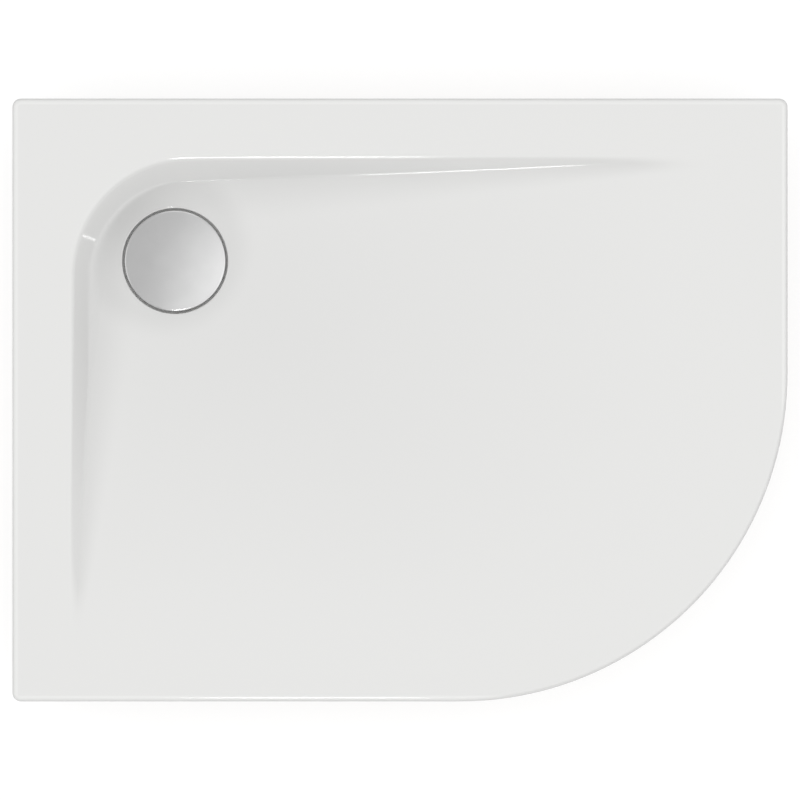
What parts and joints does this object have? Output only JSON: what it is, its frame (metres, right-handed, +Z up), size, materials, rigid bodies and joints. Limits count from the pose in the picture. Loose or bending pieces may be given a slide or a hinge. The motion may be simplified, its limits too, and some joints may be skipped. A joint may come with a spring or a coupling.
{
  "type": "shower tray",
  "caption": "Low offset-quadrant shower tray in glossy white acrylic, floor sloping to a corner waste with a domed cover and lift-out trap, on height-adjustable screw legs",
  "frame": {"origin": "on the floor, under the middle of the tray's outline box", "axes": "+X along the long side towards the quadrant end, +Y to the back wall, +Z up"},
  "size_m": [0.9, 0.7, 0.15],
  "materials": {
    "white_acrylic": "glossy white sanitary acrylic",
    "filled_resin": "rough filled resin",
    "board": "moisture-proof chipboard, sealed with resin",
    "chrome_plate": "satin chrome plating",
    "white_plastic": "moulded white polypropylene",
    "trap_plastic": "moulded pale grey polypropylene",
    "black_plastic": "moulded black polyamide",
    "black_rubber": "soft black rubber",
    "stainless": "stainless steel",
    "zinc_steel": "zinc-plated steel"
  },
  "bodies": {
    "tray": {"tray_shell": "white_acrylic", "backing_core": "filled_resin", "base_board": "board", "clamp_ring": "stainless", "clamp_screws": "stainless", "upper_gasket": "black_rubber", "lower_gasket": "black_rubber", "trap_body": "trap_plastic", "outlet_seal": "black_rubber", "outlet_washer": "white_plastic", "outlet_nut": "trap_plastic", "outlet_pipe": "white_plastic", "leg_screws": "zinc_steel", "leg_socket_back_left": "black_plastic", "lock_nut_back_left": "zinc_steel", "leg_socket_back_right": "black_plastic", "lock_nut_back_right": "zinc_steel", "leg_socket_front_left": "black_plastic", "lock_nut_front_left": "zinc_steel", "leg_socket_quadrant": "black_plastic", "lock_nut_quadrant": "zinc_steel", "leg_socket_centre": "black_plastic", "lock_nut_centre": "zinc_steel"},
    "insert": {"trap_insert": "white_plastic", "insert_o_ring": "black_rubber"},
    "strainer": {"hair_strainer": "white_plastic"},
    "cover": {"waste_cover": "chrome_plate", "cover_clip": "white_plastic"},
    "foot_back_left": {"foot_pad_back_left": "black_plastic", "foot_tread_back_left": "black_rubber"},
    "stud_back_left": {"leg_stud_back_left": "zinc_steel"},
    "foot_back_right": {"foot_pad_back_right": "black_plastic", "foot_tread_back_right": "black_rubber"},
    "stud_back_right": {"leg_stud_back_right": "zinc_steel"},
    "foot_front_left": {"foot_pad_front_left": "black_plastic", "foot_tread_front_left": "black_rubber"},
    "stud_front_left": {"leg_stud_front_left": "zinc_steel"},
    "foot_quadrant": {"foot_pad_quadrant": "black_plastic", "foot_tread_quadrant": "black_rubber"},
    "stud_quadrant": {"leg_stud_quadrant": "zinc_steel"},
    "foot_centre": {"foot_pad_centre": "black_plastic", "foot_tread_centre": "black_rubber"},
    "stud_centre": {"leg_stud_centre": "zinc_steel"}
  },
  "joints": [
    {"name": "insert_lift", "type": "slide", "parent": "tray", "child": "insert", "axis": [0, 0, 1], "range_m": [0, 0.13]},
    {"name": "strainer_lift", "type": "slide", "parent": "insert", "child": "strainer", "axis": [0, 0, 1], "range_m": [0, 0.05]},
    {"name": "cover_lift", "type": "slide", "parent": "strainer", "child": "cover", "axis": [0, 0, 1], "range_m": [0, 0.06]},
    {"name": "foot_back_left_height", "type": "slide", "parent": "tray", "child": "foot_back_left", "axis": [0, 0, 1], "range_m": [0, 0.02]},
    {"name": "stud_back_left_turn", "type": "hinge", "parent": "foot_back_left", "child": "stud_back_left", "pos_m": [-0.39, 0.29, 0], "axis": [0, 0, 1], "range_deg": [0, 4115]},
    {"name": "foot_back_right_height", "type": "slide", "parent": "tray", "child": "foot_back_right", "axis": [0, 0, 1], "range_m": [0, 0.02]},
    {"name": "stud_back_right_turn", "type": "hinge", "parent": "foot_back_right", "child": "stud_back_right", "pos_m": [0.39, 0.29, 0], "axis": [0, 0, 1], "range_deg": [0, 4115]},
    {"name": "foot_front_left_height", "type": "slide", "parent": "tray", "child": "foot_front_left", "axis": [0, 0, 1], "range_m": [0, 0.02]},
    {"name": "stud_front_left_turn", "type": "hinge", "parent": "foot_front_left", "child": "stud_front_left", "pos_m": [-0.39, -0.29, 0], "axis": [0, 0, 1], "range_deg": [0, 4115]},
    {"name": "foot_quadrant_height", "type": "slide", "parent": "tray", "child": "foot_quadrant", "axis": [0, 0, 1], "range_m": [0, 0.02]},
    {"name": "stud_quadrant_turn", "type": "hinge", "parent": "foot_quadrant", "child": "stud_quadrant", "pos_m": [0.27506, -0.17506, 0], "axis": [0, 0, 1], "range_deg": [0, 4115]},
    {"name": "foot_centre_height", "type": "slide", "parent": "tray", "child": "foot_centre", "axis": [0, 0, 1], "range_m": [0, 0.02]},
    {"name": "stud_centre_turn", "type": "hinge", "parent": "foot_centre", "child": "stud_centre", "pos_m": [0.06, 0.02, 0], "axis": [0, 0, 1], "range_deg": [0, 4115]}
  ],
  "couplings": [
    {"joint": "stud_back_left_turn", "follows": "foot_back_left_height", "rad_per_m": 3590.4},
    {"joint": "stud_back_right_turn", "follows": "foot_back_right_height", "rad_per_m": 3590.4},
    {"joint": "stud_front_left_turn", "follows": "foot_front_left_height", "rad_per_m": 3590.4},
    {"joint": "stud_quadrant_turn", "follows": "foot_quadrant_height", "rad_per_m": 3590.4},
    {"joint": "stud_centre_turn", "follows": "foot_centre_height", "rad_per_m": 3590.4}
  ]
}
